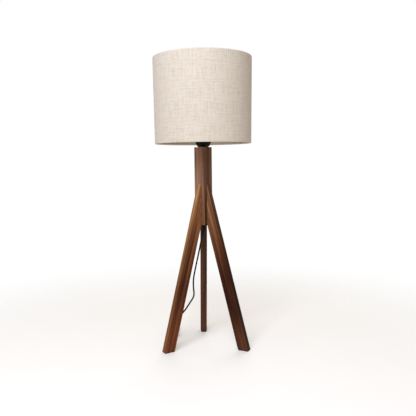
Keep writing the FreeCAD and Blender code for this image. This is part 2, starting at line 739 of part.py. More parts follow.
def switch_rocker():
    """Rocker with its off end pressed down."""
    c = rocker_centre()
    half = ROCKER_LONG / 2 - ROCKER_GAP
    profile = [(-half, ROCKER_FOOT), (half, ROCKER_FOOT), (half, ROCKER_FACE), (0, ROCKER_CREST),
               (-half, ROCKER_FACE)]
    face = polygon_face([(c.x - ROCKER_WIDE / 2, c.y + y, z) for y, z in profile])
    rocker = face.extrude(V(ROCKER_WIDE, 0, 0))
    pin_long = ROCKER_WIDE + 2 * ROCKER_GAP + 2.0
    pin = Part.makeCylinder(ROCKER_PIN_R, pin_long, c - V(pin_long / 2, 0, 0), V(1, 0, 0))
    rocker = rocker.fuse(pin)
    rocker.rotate(c, V(1, 0, 0), -ROCKER_TILT)
    return rocker


def switch_contact():
    """Sprung brass strip under the rocker."""
    c = rocker_centre()
    outline = [(-14.0, 6.9), (-14.0, 7.4), (-9.0, 7.4), (0, 8.3), (9.0, 6.2), (9.0, 5.7),
               (0, 7.8), (-9.0, 6.9)]
    face = polygon_face([(c.x - STRIP_WIDE / 2, c.y + y, z) for y, z in outline])
    return face.extrude(V(STRIP_WIDE, 0, 0))


def switch_terminals():
    c = rocker_centre()
    across, along = 6.0, 5.0
    return group([Part.makeBox(across, along, high, V(c.x - across / 2, c.y + y, SWITCH_WALL))
                  for y, high in SWITCH_TERMINALS])


def switch_screws():
    under, top = SCREW_HEAD
    shanks = screw_posts(SCREW_R, (under + top) / 2, SCREW_TOP)
    heads = screw_posts(SCREW_HEAD_R, under, top)
    return group([a.fuse(b) for a, b in zip(shanks, heads)])


# ---- spare lead and plug

def in_hank(shape):
    """Lay a shape made in the hank's frame (X across, Y along it) where the hank lies."""
    done = shape.copy()
    done.rotate(ORIGIN, UP, HANK_TURN)
    done.translate(HANK_AT)
    return done


def cord_hank():
    """Outer shape of the folded lead, drawn in at the tie."""
    r, end, waist = HANK_END_R, HANK_LONG / 2 - HANK_END_R, HANK_WAIST
    upper = [(r, end), *HANK_SHOULDERS, (waist, 7.0)]
    right = [V(x, y, 0) for x, y in upper] + [V(x, -y, 0) for x, y in reversed(upper)]
    left = [V(-p.x, p.y, 0) for p in reversed(right)]
    edges = [Part.LineSegment(a, b).toShape() for a, b in zip(right, right[1:])]
    edges.append(Part.Arc(right[-1], V(0, -end - r, 0), left[0]).toShape())
    edges += [Part.LineSegment(a, b).toShape() for a, b in zip(left, left[1:])]
    edges.append(Part.Arc(left[-1], V(0, end + r, 0), right[0]).toShape())
    hank = Part.Face(Part.Wire(edges)).extrude(V(0, 0, HANK_HIGH))
    return in_hank(hank.cut(tie_block(0.05, -1.0)).fuse(tie_core()))


def tie_block(gap, low):
    """The slice of the hank that the tie goes round."""
    half = TIE_WIDE / 2 + gap
    return Part.makeBox(60, 2 * half, HANK_HIGH + 4, V(-30, -half, low))


def tie_core(grow=0.0):
    half = HANK_WAIST - TIE_THICK / 2 + grow
    low, high = TIE_THICK + 0.05 - grow, HANK_HIGH - TIE_THICK / 2 + grow
    wide = TIE_WIDE + 0.1
    return Part.makeBox(2 * half, wide, high - low, V(-half, -wide / 2, low))


def hank_tie():
    half = HANK_WAIST + TIE_THICK / 2
    band = Part.makeBox(2 * half, TIE_WIDE, HANK_HIGH + TIE_THICK / 2, V(-half, -TIE_WIDE / 2, 0))
    return in_hank(band.cut(tie_core(0.05)))


def grip_grooves(rear, low, high):
    """Grooves between the ribs on both broad faces of the plug."""
    wide = PLUG_WIDE / 2
    grooves = []
    for k in range(GRIPS):
        v = rear - PLUG_SHOULDERS[1] + (k - 1) * GRIP_PITCH
        reach = wide * (0.62 if k < GRIPS - 1 else 0.5)
        for z in (low - PAST, high - GRIP_DEEP):
            start = V(PLUG_ACROSS - reach, v, z)
            grooves.append(Part.makeBox(2 * reach, GRIP_PITCH / 2.5, GRIP_DEEP + PAST, start))
    return grooves


def plug_body():
    """Flat two-pin plug with ribbed faces and a tapered boot."""
    rear, front = PLUG_REAR, PLUG_REAR - PLUG_LONG
    wide, neck = PLUG_WIDE / 2, PLUG_NECK / 2
    low, high = HANK_HIGH, HANK_HIGH + PLUG_THICK
    start, end = (rear - v for v in PLUG_SHOULDERS)
    outline = [(neck, rear), (neck, start), (wide, end), (wide, front), (-wide, front),
               (-wide, end), (-neck, start), (-neck, rear)]
    body = polygon_face([(PLUG_ACROSS + u, v, low) for u, v in outline]).extrude(V(0, 0, PLUG_THICK))
    body = body.makeFillet(PLUG_EDGE, [e for e in body.Edges if e.BoundBox.YMax < rear - 0.1
                                       and e.BoundBox.ZLength < 0.01 and e.BoundBox.YLength > 0.1])
    body = body.cut(grip_grooves(rear, low, high))
    centre = V(PLUG_ACROSS, rear, (low + high) / 2)
    boot = Part.makeCone(*PLUG_BOOT_R, PLUG_BOOT, centre, V(0, 1, 0))
    root = 5.0                                          # the lead goes this far into the body
    lead = Part.makeCylinder(CORD_R + SNUG, PLUG_BOOT + root + PAST, centre - V(0, root, 0), V(0, 1, 0))
    return in_hank(body.fuse(boot).removeSplitter().cut([lead] + plain_pins() + plain_sleeves()))


def pin_places():
    low = HANK_HIGH + PLUG_THICK / 2
    front = PLUG_REAR - PLUG_LONG
    return [V(PLUG_ACROSS + s * PIN_APART / 2, front, low) for s in (-1, 1)]


def plain_pins():
    """Pins with a thinner root inside their sleeves, in the hank's frame."""
    out = V(0, -1, 0)
    pins = []
    for p in pin_places():
        core = Part.makeCylinder(PIN_R - SLEEVE_WALL, SLEEVE_LONG + PIN_ROOT, p - out * PIN_ROOT, out)
        tip = Part.makeCylinder(PIN_R, PIN_LONG - SLEEVE_LONG - PIN_R, p + out * SLEEVE_LONG, out)
        nose = Part.makeSphere(PIN_R, p + out * (PIN_LONG - PIN_R))
        pins.append(core.fuse([tip, nose]))
    return pins


def plain_sleeves():
    out = V(0, -1, 0)
    sleeves = []
    for p in pin_places():
        sleeve = Part.makeCylinder(PIN_R, SLEEVE_LONG + 2, p - out * 2, out)
        bore = Part.makeCylinder(PIN_R - SLEEVE_WALL, SLEEVE_LONG + 2 + 2 * PAST, p - out * (2 + PAST), out)
        sleeves.append(sleeve.cut(bore))
    return sleeves


def cord_plug_end():
    return in_hank(tube(ROUTE_PLUG, CORD_R, "cord_plug_end"))


def pipe_washer():
    top = POST_BOTTOM + POCKET_DEEP
    return disc(WASHER_R, top - WASHER_THICK, top, NUT_HOLE_R)


def parts():
    """Every piece with its name."""
    yield "post", post()
    for name, azimuth in LEGS.items():
        yield name, leg(azimuth)
        yield name.replace("leg", "foot_pad"), foot_pad(azimuth)
    yield "leg_dowels", group(dowels())
    yield "lamp_pipe", lamp_pipe()
    yield "pipe_washer", pipe_washer()
    yield "pipe_nut_lower", nut(POST_BOTTOM + POCKET_DEEP - WASHER_THICK - NUT_THICK)
    yield "pipe_nut_upper", nut(POST_TOP + CUP_WALL)
    yield "wire_live", wire(1)
    yield "wire_neutral", wire(-1)
    yield "cord_hanging", tube(ROUTE_HANG, CORD_R, "cord_hanging")
    yield "cord_on_floor", tube(ROUTE_FLOOR, CORD_R, "cord_on_floor")
    yield "plug_pins", in_hank(group(plain_pins()))
    yield "plug_sleeves", in_hank(group(plain_sleeves()))
    for make in (
        cord_bushing, strain_relief, cord_in_pipe, socket_cup,
        lampholder_cap, lampholder_core, lampholder_shell, screw_shell, centre_contact,
        terminal_blocks, terminal_screws,
        bulb_eyelet, bulb_insulator, bulb_cap, bulb_housing, bulb_globe, led_board, led_driver,
        shade_fabric, shade_liner, shade_top_ring, shade_bottom_frame, shade_ring,
        cable_clip, clip_nail,
        switch_case_lower, switch_case_upper, switch_rocker, switch_contact, switch_terminals,
        switch_screws,
        cord_hank, hank_tie, cord_plug_end, plug_body,
    ):
        yield make.__name__, make()


os.makedirs("parts", exist_ok=True)
for name, shape in parts():
    write(name, shape)
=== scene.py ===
import math

import bmesh
import bpy
from mathutils import Matrix, Vector, noise


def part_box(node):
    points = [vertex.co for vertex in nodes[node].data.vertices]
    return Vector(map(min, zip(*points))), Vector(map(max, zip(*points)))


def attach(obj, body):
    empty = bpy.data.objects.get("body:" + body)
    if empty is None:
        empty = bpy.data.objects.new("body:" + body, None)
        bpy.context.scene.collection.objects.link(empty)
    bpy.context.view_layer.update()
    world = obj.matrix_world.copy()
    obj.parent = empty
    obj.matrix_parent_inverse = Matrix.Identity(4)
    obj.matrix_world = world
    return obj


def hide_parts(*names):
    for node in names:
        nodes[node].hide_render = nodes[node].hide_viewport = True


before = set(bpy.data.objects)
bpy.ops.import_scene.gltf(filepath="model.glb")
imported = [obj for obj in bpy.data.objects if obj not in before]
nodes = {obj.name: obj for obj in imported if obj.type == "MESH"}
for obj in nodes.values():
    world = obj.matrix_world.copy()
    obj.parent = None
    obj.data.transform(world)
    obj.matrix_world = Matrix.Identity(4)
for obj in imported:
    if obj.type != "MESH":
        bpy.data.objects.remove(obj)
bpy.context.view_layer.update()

scene = bpy.context.scene
MM = 0.001


# ---------------------------------------------------------------- camera

SENSOR_MM = 36.0
LENS_MM = 45.486
SHIFT_X = 0.00988               # share of the picture's width
CAMERA_YAW = 0.0423             # radians round to the left of the post's front edge
CAMERA_PITCH = -0.08494         # looking down a little
CAMERA_ROLL = -0.012
CAMERA_AWAY = 2.197             # metres from the lamp's axis
CAMERA_HIGH = 0.7711


def make_camera():
    """Stands a little left of the post's front edge, at about two thirds of the lamp's height."""
    data = bpy.data.cameras.new("camera")
    data.sensor_width = SENSOR_MM
    data.lens = LENS_MM
    data.shift_x = SHIFT_X
    camera = bpy.data.objects.new("camera", data)
    scene.collection.objects.link(camera)
    turn = Matrix.Rotation(-CAMERA_YAW, 4, "Z") @ Matrix.Rotation(math.pi / 2 + CAMERA_PITCH, 4, "X")
    turn = turn @ Matrix.Rotation(CAMERA_ROLL, 4, "Z")
    place = (-math.sin(CAMERA_YAW) * CAMERA_AWAY, -math.cos(CAMERA_YAW) * CAMERA_AWAY, CAMERA_HIGH)
    camera.matrix_world = Matrix.Translation(Vector(place)) @ turn
    scene.camera = camera


make_camera()


# ---------------------------------------------------------------- mains lead

CORD_D = 0.0064
CORD_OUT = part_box("cord_bushing")[0][2] / MM         # underside of the bushing

# Routes in mm: from the post down to the switch, and from the switch along the floor to the hank.
ROUTE_UPPER = (
    (0, 0, CORD_OUT), (-8, 0, 470), (-17, -1, 428), (-27, -3, 382), (-39, -6, 331),
    (-48.5, -9, 286), (-49, -12, 249), (-45, -15, 214), (-65, -23, 186), (-89, -31, 152),
    (-115, -39.5, 131), (-139.2, -60.7, 112), (-148.8, -66.3, 70), (-152.8, -58, 33),
    (-152, -29, 9.5), (-152, 6, 8.5),
)
ROUTE_FLOOR = ((-152, 52, 8.5), (-152.6, 65, 8.2), (-158.6, 82, 4.4), (-160.3, 97.5, 3.2))

# The hank's own frame is across, along and up, in mm, with its tie at the middle.
HANK_X, HANK_Y = -138.3, 149.0
HANK_TURN = math.radians(-2.9)
HANK_RUNS = 7
RUN = ((19.9, 36.6), (15.7, 26.8), (7.9, 19.5), (3.7, 9.7))     # from a fold in to the tie
FOLD_R = 19.9                   # each end is a half turn of this radius
FOLD_V = 41.9                   # its middle lies this far from the tie
FOLD_STEPS = 6
FOLD_GIVE = (2.8, -0.2, -0.5, -1.6, -1.3, -0.4, -0.9, 0.0)      # no two folds lie quite alike
RISE_STEPS = 4                  # a fold reaches the next layer in this many steps
LAST_CLIMB = 0.3
LAST_IN, LAST_ASIDE = 0.99, 0.2         # the last fold comes round onto the plug's run
ROUTE_PLUG = ((19.5, 36.5, 25.6), (16.6, 24.5, 28), (10.4, 10.5, 30.9), (6.5, -3, 32.3), (6, -14, 32.45))


def in_hank(u, v, z):
    """From the hank's own frame to the lamp's, in mm."""
    c, s = math.cos(HANK_TURN), math.sin(HANK_TURN)
    return (HANK_X + c * u - s * v, HANK_Y + s * u + c * v, z)


def hank_points():
    """Runs laid in pairs, layer on layer, drawn in at the tie and joined by a fold at each end."""
    layer = CORD_D / MM
    r = FOLD_R / math.cos(math.pi / FOLD_STEPS / 2)
    heights = [layer * (0.5 + k // 2) for k in range(HANK_RUNS)]
    points = []
    for k, z in enumerate(heights):
        side, way = (-1, 1) if k % 2 == 0 else (1, -1)
        last = k == HANK_RUNS - 1
        near, far = ((FOLD_V + FOLD_GIVE[j]) / FOLD_V for j in (k, k + 1))
        points += [(side * u, -way * v * near, z) for u, v in RUN]
        points.append((side * RUN[-1][0], 0.0, z))
        points += [(side * u, way * v * far, z) for u, v in reversed(RUN)]
        for step in range(FOLD_STEPS):
            angle = math.pi / FOLD_STEPS * (step + 0.5)
            across = side * r * math.cos(angle)
            if last:
                across = LAST_IN * across - LAST_ASIDE
                rise = LAST_CLIMB * max(0, step - 2) * (step - 1) / 2
            else:
                rise = (heights[k + 1] - z) * min(1.0, (step + 0.5) / RISE_STEPS)
            points.append((across, way * (FOLD_V * far + r * math.sin(angle)), z + rise))
    return [in_hank(*p) for p in points]


def cord(name, points):
    """A round lead along one smooth open spline, its points in mm."""
    curve = bpy.data.curves.new(name, "CURVE")
    curve.dimensions = "3D"
    curve.bevel_depth = CORD_D / 2
    curve.bevel_resolution = 6
    curve.resolution_u = 8
    curve.use_fill_caps = True
    spline = curve.splines.new("NURBS")
    spline.points.add(len(points) - 1)
    for point, p in zip(spline.points, points):
        point.co = (p[0] * MM, p[1] * MM, p[2] * MM, 1.0)
    spline.order_u = 3
    spline.use_endpoint_u = True
    piece = bpy.data.objects.new(name, curve)
    scene.collection.objects.link(piece)
    return piece


lead_upper = cord("lead_upper", ROUTE_UPPER)
lead_lower = cord("lead_lower", ROUTE_FLOOR + tuple(hank_points()) + tuple(in_hank(*p) for p in ROUTE_PLUG))


# ---------------------------------------------------------------- materials

class Nodes:
    """Short way to build a material's node tree."""

    def __init__(self, name):
        self.material = bpy.data.materials.new(name)
        self.material.use_nodes = True
        self.tree = self.material.node_tree
        self.shader = self.tree.nodes["Principled BSDF"]

    def add(self, kind, inputs=None, **settings):
        node = self.tree.nodes.new(kind)
        for key, value in settings.items():
            setattr(node, key, value)
        for key, value in (inputs or {}).items():
            self.put(node.inputs[key], value)
        return node

    def put(self, socket, value):
        """Links a socket to another, or gives it a plain value."""
        if isinstance(value, bpy.types.NodeSocket):
            self.tree.links.new(value, socket)
        else:
            socket.default_value = value

    def math(self, operation, a, b=0.0, c=0.0):
        node = self.tree.nodes.new("ShaderNodeMath")
        node.operation = operation
        for socket, value in zip(node.inputs, (a, b, c)):
            self.put(socket, value)
        return node.outputs[0]

    def place(self):
        return self.add("ShaderNodeTexCoord").outputs["Object"]

    def scaled(self, vector, scale):
        return self.add("ShaderNodeMapping", {"Vector": vector, "Scale": scale}).outputs[0]

    def joined(self, x, y, z=0.0):
        return self.add("ShaderNodeCombineXYZ", {"X": x, "Y": y, "Z": z}).outputs[0]

    def noise(self, vector, scale=1.0, detail=2.0, rough=0.5, distortion=0.0):
        node = self.add("ShaderNodeTexNoise", {"Vector": vector, "Scale": scale, "Detail": detail,
                                               "Roughness": rough, "Distortion": distortion})
        return node.outputs["Fac"]

    def ramp(self, value, stops):
        node = self.add("ShaderNodeValToRGB", {"Fac": value})
        ramp = node.color_ramp
        while len(ramp.elements) < len(stops):
            ramp.elements.new(0.5)
        for element, (place, colour) in zip(ramp.elements, stops):
            element.position = place
            element.color = (*colour, 1.0)
        return node.outputs["Color"]

    def mix(self, share, a, b, blend="MIX"):
        node = self.add("ShaderNodeMix", data_type="RGBA", blend_type=blend)
        self.put(node.inputs[0], share)
        for socket, value in ((node.inputs[6], a), (node.inputs[7], b)):
            self.put(socket, (*value, 1.0) if isinstance(value, tuple) else value)
        return node.outputs[2]

    def between(self, value, low, high):
        """Spreads a value of 0 to 1 from low to high."""
        node = self.add("ShaderNodeMapRange", {"Value": value, "To Min": low, "To Max": high})
        return node.outputs[0]

    def bump(self, height, distance, strength=1.0):
        node = self.add("ShaderNodeBump", {"Height": height, "Distance": distance,
                                           "Strength": strength})
        self.put(self.shader.inputs["Normal"], node.outputs[0])

    def finish(self, colour, rough, **fixed):
        self.put(self.shader.inputs["Base Color"], colour)
        self.put(self.shader.inputs["Roughness"], rough)
        for key, value in fixed.items():
            self.shader.inputs[key.replace("_", " ")].default_value = value
        return self.material


WALNUT_DARK = (0.040, 0.012, 0.005)
WALNUT_MID = (0.112, 0.034, 0.0135)
WALNUT_LIGHT = (0.215, 0.088, 0.039)

# Noise scales per metre, across the grain twice and then along it.
FIGURE = (26, 26, 1.6)
RINGS = (175, 175, 2.6)
FIBRES = (1100, 1100, 22)
PORES = (1500, 1500, 75)
WANDER = 0.16                   # metres over which the figure shifts the painted light and shade by height up and down

# Height above the floor in metres, and what the wood's red, green and blue are multiplied by there.
# The leg tables are painted light and shade: each leg lighter and greyer near its top and darker lower
# down, the right leg darker than the left as if in shade.
LEFT_LEG_PAINTED_LIGHT = (
    (0.10, (0.40, 0.28, 0.24)), (0.27, (0.25, 0.18, 0.155)), (0.40, (0.52, 0.46, 0.40)),
    (0.52, (0.82, 0.87, 0.82)), (0.64, (1.0, 1.12, 1.15)),
)
RIGHT_LEG_PAINTED_LIGHT = (
    (0.06, (0.31, 0.245, 0.21)), (0.18, (0.125, 0.072, 0.062)), (0.30, (0.19, 0.125, 0.11)),
    (0.42, (0.40, 0.33, 0.29)), (0.52, (0.58, 0.60, 0.58)), (0.64, (0.90, 1.05, 1.25)),
)
# The post's table is painted shade, darker and warmer towards its foot where the legs close round it.
POST_PAINTED_SHADE = ((0.53, (0.68, 0.65, 0.50)), (0.61, (0.72, 0.69, 0.60)), (0.68, (1.0, 1.0, 1.0)))


def walnut(name, azimuth, splay, shift, tone, painted_side_light=None, painted_light_by_height=None):
    """Oiled walnut with its grain along a bar that leans out by splay towards azimuth. Shift moves
    the figure, so that no two bars match. The side light paints light or shade on one flat side,
    by the colour multiplied onto it there. The height table paints light and shade by height."""
    n = Nodes(name)
    place = n.place()
    flat = n.add("ShaderNodeMapping", {"Vector": place, "Rotation": (0, 0, -azimuth)}).outputs[0]
    along = n.add("ShaderNodeMapping", {"Vector": flat, "Rotation": (0, splay, 0),
                                        "Location": (shift, shift * 0.7, shift * 3.1)}).outputs[0]
    figure = n.noise(n.scaled(along, FIGURE), 1.0, 2.0, 0.5, 0.6)
    rings = n.noise(n.scaled(along, RINGS), 1.0, 3.0, 0.6, 0.4)
    fibres = n.noise(n.scaled(along, FIBRES), 1.0, 2.0, 0.6)
    pores = n.noise(n.scaled(along, PORES), 1.0, 1.0, 0.5)
    dark, mid, light = (tuple(c * t for c, t in zip(colour, tone))
                        for colour in (WALNUT_DARK, WALNUT_MID, WALNUT_LIGHT))
    wave = n.math("MULTIPLY_ADD", figure, 0.45, n.math("MULTIPLY", rings, 0.55))
    colour = n.ramp(wave, ((0.37, dark), (0.50, mid), (0.65, light)))
    colour = n.mix(n.between(fibres, 0.0, 0.30), colour, dark)
    pore = n.ramp(pores, ((0.60, (0, 0, 0)), (0.70, (1, 1, 1))))
    colour = n.mix(n.math("MULTIPLY", pore, 0.5), colour, tuple(0.4 * c for c in dark))
    # Painted light and shade by height, multiplied onto the wood.
    if painted_light_by_height:
        height = n.add("ShaderNodeSeparateXYZ", {"Vector": place}).outputs["Z"]
        height = n.math("MULTIPLY_ADD", figure, WANDER, n.math("ADD", height, -WANDER / 2))
        colour = n.mix(1.0, colour, n.ramp(height, painted_light_by_height), "MULTIPLY")
    # Painted light or painted shade on one flat side, multiplied onto the wood there.
    if painted_side_light:
        toward, side_light_tint = painted_side_light
        normal = n.add("ShaderNodeTexCoord").outputs["Normal"]
        facing = n.add("ShaderNodeVectorMath", {0: normal, 1: (math.cos(toward), math.sin(toward), 0)},
                       operation="DOT_PRODUCT").outputs["Value"]
        share = n.add("ShaderNodeMapRange", {"Value": facing, "From Min": 0.5, "From Max": 0.8}).outputs[0]
        colour = n.mix(share, colour, n.mix(1.0, colour, side_light_tint, "MULTIPLY"))
    n.bump(n.math("SUBTRACT", n.math("MULTIPLY", fibres, 0.5), n.math("MULTIPLY", pore, 0.6)), 0.00012, 0.7)
    return n.finish(colour, n.between(rings, 0.48, 0.66), Specular_IOR_Level=0.10)


shade_low, shade_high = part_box("shade_fabric")
SHADE_TAPER = 0.0040            # the drum's radius is this much smaller at its foot
SHADE_MEAN_R = shade_high.x - SHADE_TAPER / 2
THREADS_APART = 0.0011


def round_the_axis(n):
    """Distance round the shade and height, in metres, as two values."""
    axes = n.add("ShaderNodeSeparateXYZ", {"Vector": n.place()}).outputs
    turn = n.math("ARCTAN2", axes["X"], n.math("MULTIPLY", axes["Y"], -1.0))
    return n.math("MULTIPLY", turn, SHADE_MEAN_R), axes["Z"]


def linen(name):
    """Plain-woven slub linen in a pale natural colour."""
    n = Nodes(name)
    u, v = round_the_axis(n)

    def field(across, up, shift=0.0):
        """Noise with this many spots to the metre each way."""
        return n.noise(n.joined(n.math("MULTIPLY", u, across), n.math("MULTIPLY", v, up), shift),
                       1.0, 2.0, 0.55)

    def ribs(distance):
        return n.math("SINE", n.math("MULTIPLY", distance, 2 * math.pi / THREADS_APART))

    weft = field(38, 300)
    warp = field(300, 38, 4.0)
    long_weft = field(13, 170, 9.0)
    long_warp = field(170, 13, 13.0)
    cloud = field(14, 14, 21.0)
    weave = n.math("MULTIPLY", ribs(u), ribs(v))
    slub = n.math("ADD", n.math("ADD", weft, warp), n.math("ADD", long_weft, long_warp))
    slub = n.math("MULTIPLY", slub, 0.25)
    colour = n.ramp(slub, ((0.39, (0.620, 0.545, 0.452)), (0.50, (0.745, 0.672, 0.586)),
                           (0.60, (0.800, 0.734, 0.654))))
    colour = n.mix(n.between(cloud, 0.0, 0.14), colour, (0.66, 0.58, 0.50))
    colour = n.mix(n.between(weave, 0.06, 0.0), colour, (0.46, 0.38, 0.29))
    n.bump(n.math("MULTIPLY_ADD", slub, 1.6, n.math("MULTIPLY", weave, 0.25)), 0.0004, 0.7)
    return n.finish(colour, 0.92, Specular_IOR_Level=0.15, Sheen_Weight=0.25, Sheen_Roughness=0.6)


def lining(name):
    """Pale film behind the linen, with the weave showing faintly through."""
    n = Nodes(name)
    u, v = round_the_axis(n)
    threads = n.noise(n.joined(n.math("MULTIPLY", u, 500), n.math("MULTIPLY", v, 500)))
    broad = n.noise(n.place(), 12.0)
    colour = n.mix(threads, (0.66, 0.60, 0.50), (0.74, 0.68, 0.58))
    colour = n.mix(n.between(broad, 0.0, 0.2), colour, (0.60, 0.52, 0.42))
    n.bump(threads, 0.0001, 0.4)
    return n.finish(colour, 0.5)


def plain(name, colour, rough, spread=0.12, grain=900, bump=0.00003, metal=0.0, **fixed):
    """Moulded, painted or plated surface with a fine grain and slight unevenness."""
    n = Nodes(name)
    fine = n.noise(n.place(), grain)
    broad = n.noise(n.place(), 60.0, 3.0)
    darker = tuple(c * (1 - spread) for c in colour)
    lighter = tuple(min(1.0, c * (1 + spread)) for c in colour)
    n.bump(fine, bump)
    return n.finish(n.mix(broad, darker, lighter), n.between(broad, rough * 0.85, min(1.0, rough * 1.15)),
                    Metallic=metal, **fixed)


LEG_LEFT, LEG_RIGHT, LEG_REAR = (math.radians(azimuth) for azimuth in (210, 330, 90))
leg_low, leg_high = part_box("leg_rear")
splay = math.atan((leg_high[1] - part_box("post")[1][1]) / (leg_high[2] - leg_low[2]))
# Side colours are painted: the post's right and the right leg's outer side as shade, the left leg's outer
# side as light.
look = {
    "post": walnut("walnut_post", 0.0, 0.0, 0.31, (3.0, 4.8, 7.6),
                   (LEG_RIGHT, (0.48, 0.43, 0.36)), POST_PAINTED_SHADE),
    "leg_left": walnut("walnut_left", LEG_LEFT, splay, 0.11, (2.9, 3.5, 3.4),
                       (LEG_LEFT, (1.40, 1.65, 1.72)), LEFT_LEG_PAINTED_LIGHT),
    "leg_right": walnut("walnut_right", LEG_RIGHT, splay, 0.57, (2.6, 3.1, 3.1),
                        (LEG_RIGHT, (0.46, 0.38, 0.36)), RIGHT_LEG_PAINTED_LIGHT),
    "leg_rear": walnut("walnut_rear", LEG_REAR, splay, 0.83, (0.85, 1.0, 1.25)),
    "linen": linen("linen"),
    "lining": lining("lining_film"),
    "black_paint": plain("black_paint", (0.0035, 0.0035, 0.004), 0.5, grain=1600, bump=0.00002,
                         Specular_IOR_Level=0.12),
    "black_plastic": plain("black_plastic", (0.013, 0.013, 0.014), 0.38, grain=2200, bump=0.00002),
    "black_pvc": plain("black_pvc", (0.005, 0.005, 0.005), 0.46, grain=1400, bump=0.00002,
                       Specular_IOR_Level=0.2),
    "black_rubber": plain("black_rubber", (0.006, 0.0055, 0.005), 0.7, grain=1200, bump=0.00005,
                          Specular_IOR_Level=0.18),
    "felt": plain("foot_felt", (0.030, 0.020, 0.015), 0.95, 0.3, 1500, 0.0001),
    "tie": plain("tie_strip", (0.016, 0.016, 0.017), 0.8, 0.2, 1800, 0.0001),
    "zinc": plain("zinc", (0.60, 0.60, 0.58), 0.36, 0.08, 800, 0.00001, 1.0),
    "brass": plain("brass", (0.66, 0.47, 0.20), 0.32, 0.08, 800, 0.00001, 1.0),
    "nickel": plain("cap_metal", (0.72, 0.72, 0.70), 0.30, 0.06, 800, 0.00001, 1.0),
    "porcelain": plain("porcelain", (0.80, 0.79, 0.76), 0.25, 0.04, 500, 0.00001),
    "cream": plain("cream_plastic", (0.82, 0.81, 0.77), 0.35, 0.03, 1500, 0.00001),
    "opal": plain("opal", (0.88, 0.87, 0.84), 0.30, 0.02, 1500, 0.00001, Subsurface_Weight=0.2),
    "vitrite": plain("vitrite", (0.02, 0.02, 0.022), 0.15, 0.1, 500, 0.00001),
    "board": plain("board", (0.62, 0.66, 0.62), 0.5, 0.08, 900, 0.00002),
    "dowel": walnut("dowel_wood", 0.0, 0.0, 0.9, (3.5, 6.0, 9.0)),
    "blue": plain("blue_wire", (0.03, 0.10, 0.42), 0.45),
    "brown": plain("brown_wire", (0.12, 0.045, 0.02), 0.45),
}
dressed_nodes = {
    "post": ("post",), "leg_left": ("leg_left",), "leg_right": ("leg_right",), "leg_rear": ("leg_rear",),
    "felt": ("foot_pad_left", "foot_pad_right", "foot_pad_rear"),
    "dowel": ("leg_dowels",),
    "zinc": ("lamp_pipe", "pipe_washer", "pipe_nut_lower", "pipe_nut_upper", "terminal_screws",
             "shade_top_ring", "shade_bottom_frame", "clip_nail", "switch_screws"),
    "black_rubber": ("cord_bushing",),
    "black_pvc": ("cord_in_pipe",),
    "black_paint": ("socket_cup",),
    "black_plastic": ("lampholder_cap", "lampholder_shell", "shade_ring", "cable_clip", "plug_body",
                      "plug_sleeves", "switch_case_lower", "switch_case_upper", "switch_rocker"),
    "porcelain": ("lampholder_core",),
    "brass": ("screw_shell", "centre_contact", "terminal_blocks", "bulb_eyelet", "switch_contact",
              "switch_terminals"),
    "brown": ("wire_live",), "blue": ("wire_neutral",),
    "vitrite": ("bulb_insulator",), "nickel": ("bulb_cap", "plug_pins"),
    "cream": ("bulb_housing",), "opal": ("bulb_globe",), "board": ("led_board", "led_driver"),
    "lining": ("shade_liner",),
}


def dress(piece, finish):
    piece.data.materials.clear()
    piece.data.materials.append(look[finish])


for finish, names in dressed_nodes.items():
    for name in names:
        dress(nodes[name], finish)
dress(lead_upper, "black_pvc")
dress(lead_lower, "black_pvc")


# ---------------------------------------------------------------- mesh helper

def lofted(name, rings, finish, looped=False, smooth=True):
    """Skin over a list of rings, each a list of points in metres. Looped joins the last ring to the
    first, and otherwise both ends are closed."""
    count = len(rings[0])
    verts = [tuple(p) for ring in rings for p in ring]
    faces = []
    for i in range(len(rings) if looped else len(rings) - 1):
        a, b = i * count, (i + 1) % len(rings) * count
        for k in range(count):
            after = (k + 1) % count
            faces.append((a + k, a + after, b + after, b + k))
    if not looped:
        faces.append(tuple(range(count))[::-1])
        faces.append(tuple(range(len(verts) - count, len(verts))))
    mesh = bpy.data.meshes.new(name)
    mesh.from_pydata(verts, [], faces)
    mesh.validate()
    work = bmesh.new()
    work.from_mesh(mesh)
    bmesh.ops.recalc_face_normals(work, faces=work.faces)
    work.to_mesh(mesh)
    work.free()
    for polygon in mesh.polygons:
        polygon.use_smooth = smooth
    piece = bpy.data.objects.new(name, mesh)
    scene.collection.objects.link(piece)
    dress(piece, finish)
    return piece


# ---------------------------------------------------------------- shade

CLOTH = 0.0008
EDGE_DEEP = 0.0040              # the folded edge reaches this far in, over the wire
EDGE_ROUND = 0.0015
EDGE_STEPS = 4
HEM = 0.0070                    # and this far back along the inside
HEM_ROUND = 0.0004
FOLD_OUT, FOLD_IN = 0.0010, 0.0006      # bevels on the two sides of the fold
SKIN_IN = 0.00015               # keeps the cloth's ripple inside the drum's own size
OUTSIDE = 0.0002                # cloth this near the outside carries the seam's lap
RIPPLE, RIPPLE_IN = 0.00022, 0.0001     # how far it stands out, and at most in
RIPPLE_ROUND, RIPPLE_UP = 5, 11         # its noise scale round the drum and up it
RIPPLE_DEEP = 0.0020            # cloth nearer the outside than this ripples
SEAM_AT = math.radians(90)
SEAM_WIDE = 0.012
SEAM_PROUD = 0.0006
SEAM_STEP = 0.0015              # the lap's edge fades over this width
SHADE_ROWS = 48
SHADE_AROUND = 288


